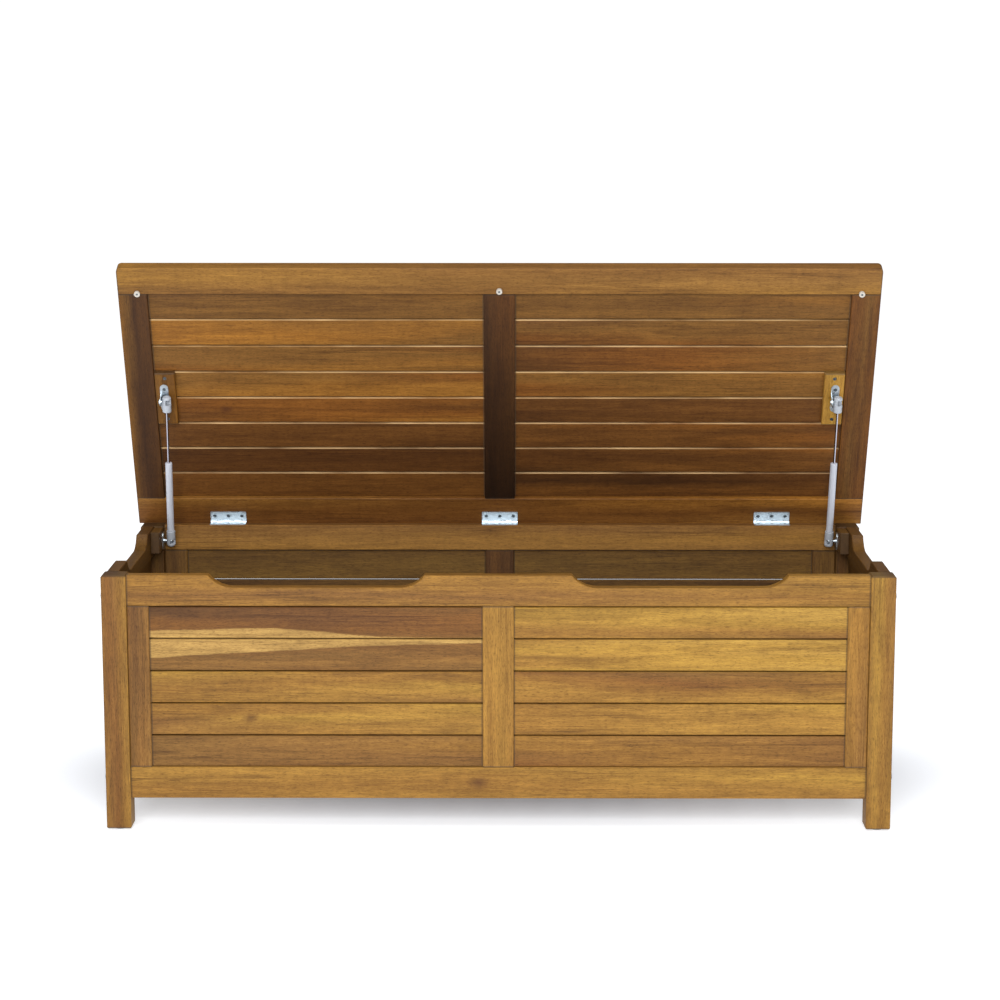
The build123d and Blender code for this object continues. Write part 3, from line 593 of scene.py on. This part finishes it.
dress(named("_leaves", "_bracket", "_ball_stud") + ["hinge_pins"],
      zinc("zinc_plate", dark=(178, 190, 200), light=(220, 228, 232)))
# the screws, bolts, nuts and nails get a darker zinc, which also paints the shade in the screws'
# countersinks
dress(named("_screws") + ["leg_bolts", "barrel_nuts", "bumper_nails"],
      zinc("zinc_screws", dark=(88, 96, 102), light=(128, 134, 138)))
dress(named("_strut_rod", "_strut_piston"),
      chrome("rod_chrome", dark=(168, 166, 178), light=(206, 204, 214)))
dress(named("_strut_tube"),
      paint("strut_paint", (176, 179, 188), (192, 195, 204), roughness=0.3, grit=1200.0, depth=0.0001))
dress(named("_socket"),
      paint("socket_plastic", (150, 155, 162), (172, 177, 184), roughness=0.45, grit=1500.0, depth=0.0002))
dress(["lid_bumpers"],
      paint("white_nylon", (170, 162, 150), (196, 190, 180), roughness=0.4, grit=900.0, depth=0.0001))
dress(["leg_glides"],
      paint("glide_plastic", (104, 104, 104), (126, 126, 126), roughness=0.5, grit=1200.0, depth=0.0002))

# ---------------------------------------------------------------------------
# Floor: a flat plane that glows white, and less in an ellipse around the box
# ---------------------------------------------------------------------------
FLOOR_COLOUR = (0.74, 0.78, 0.84, 1.0)
FLOOR_HALF_SIZE = 400.0
FLOOR_DROP = 0.0002
# the ellipse's middle is behind the origin, it is drawn out along the box, and the stops of its
# ramp are shares of its reach
GLOW_MIDDLE = 0.08
GLOW_SQUEEZE = 0.35
GLOW_REACH = 1.5
# painted shadow: the low first stops make the floor glow less under, around and behind the box
FLOOR_GLOW = ((0.1, grey(0.22, 0.01)), (0.15, grey(0.36, 0.01)), (0.23, grey(0.62)), (1.0, grey(0.85)))


def floor():
    graph = Graph("studio_floor")
    graph.surface("Base Color", FLOOR_COLOUR)
    graph.surface("Roughness", 0.9)
    graph.surface("Specular IOR Level", 0.1)
    sideways = graph.math("MULTIPLY", graph.dot(ALONG), GLOW_SQUEEZE)
    backward = graph.math("SUBTRACT", graph.dot(BACK), GLOW_MIDDLE)
    away = graph.length(graph.vector(sideways, backward, 0.0))
    graph.surface("Emission Color", graph.ramp(graph.math("DIVIDE", away, GLOW_REACH), FLOOR_GLOW))
    graph.surface("Emission Strength", 1.0)
    far = FLOOR_HALF_SIZE
    corners = [(x, y, -FLOOR_DROP) for x, y in ((-far, -far), (far, -far), (far, far), (-far, far))]
    mesh = bpy.data.meshes.new("floor")
    mesh.from_pydata(corners, [], [(0, 1, 2, 3)])
    mesh.materials.append(graph.material)
    obj = bpy.data.objects.new("floor", mesh)
    scene.collection.objects.link(obj)


# ---------------------------------------------------------------------------
# Light: two soft boxes, and a world that is bright below and near the horizon
# ---------------------------------------------------------------------------
HORIZON = 1.05
AMBIENT = 0.25


def softbox(name, place, target, size, power):
    light = bpy.data.lights.new(name, "AREA")
    light.shape = "RECTANGLE"
    light.size, light.size_y = size
    light.energy = power
    obj = bpy.data.objects.new(name, light)
    obj.location = place
    obj.rotation_euler = (Vector(target) - Vector(place)).to_track_quat("-Z", "Y").to_euler()
    scene.collection.objects.link(obj)


def studio_world():
    world = bpy.data.worlds.new("studio")
    world.use_nodes = True
    nodes = world.node_tree.nodes
    links = world.node_tree.links
    direction = nodes.new("ShaderNodeTexCoord").outputs["Generated"]
    split = nodes.new("ShaderNodeSeparateXYZ")
    sky = nodes.new("ShaderNodeMapRange")
    links.new(direction, split.inputs[0])
    links.new(split.outputs["Z"], sky.inputs["Value"])
    for name, value in (("From Min", 0.05), ("From Max", 0.12), ("To Min", HORIZON), ("To Max", AMBIENT)):
        sky.inputs[name].default_value = value
    nodes["Background"].inputs["Color"].default_value = (1.0, 1.0, 1.0, 1.0)
    links.new(sky.outputs[0], nodes["Background"].inputs["Strength"])
    return world


scene = bpy.context.scene
floor()
low_corner, high_corner = cad_box
middle = (low_corner + high_corner) / 2
softbox("key", place=(-0.3, -4.2, 2.3), target=middle, size=(3.0, 2.0), power=185)
softbox("top", place=(0.3, -1.2, 3.6), target=middle, size=(3.5, 2.0), power=60)
scene.world = studio_world()
scene.view_settings.view_transform = "Standard"

# ---------------------------------------------------------------------------
# Camera at the photograph's viewing angle
# ---------------------------------------------------------------------------
# in millimetres, metres and degrees
CAMERA_LENS = 90.8
CAMERA_RIGHT = 0.0239
CAMERA_BEFORE_BOX = 3.942
CAMERA_HEIGHT = 1.2178
CAMERA_DOWN = 9.693
CAMERA_TURN = 0.306
CAMERA_FAR_CLIP = 2000

camera = bpy.data.objects.new("camera", bpy.data.cameras.new("camera"))
scene.collection.objects.link(camera)
camera.data.lens = CAMERA_LENS
camera.data.clip_end = CAMERA_FAR_CLIP
camera.location = (CAMERA_RIGHT, low_corner.y - CAMERA_BEFORE_BOX, CAMERA_HEIGHT)
camera.rotation_euler = (math.radians(90 - CAMERA_DOWN), 0, math.radians(CAMERA_TURN))
scene.camera = camera
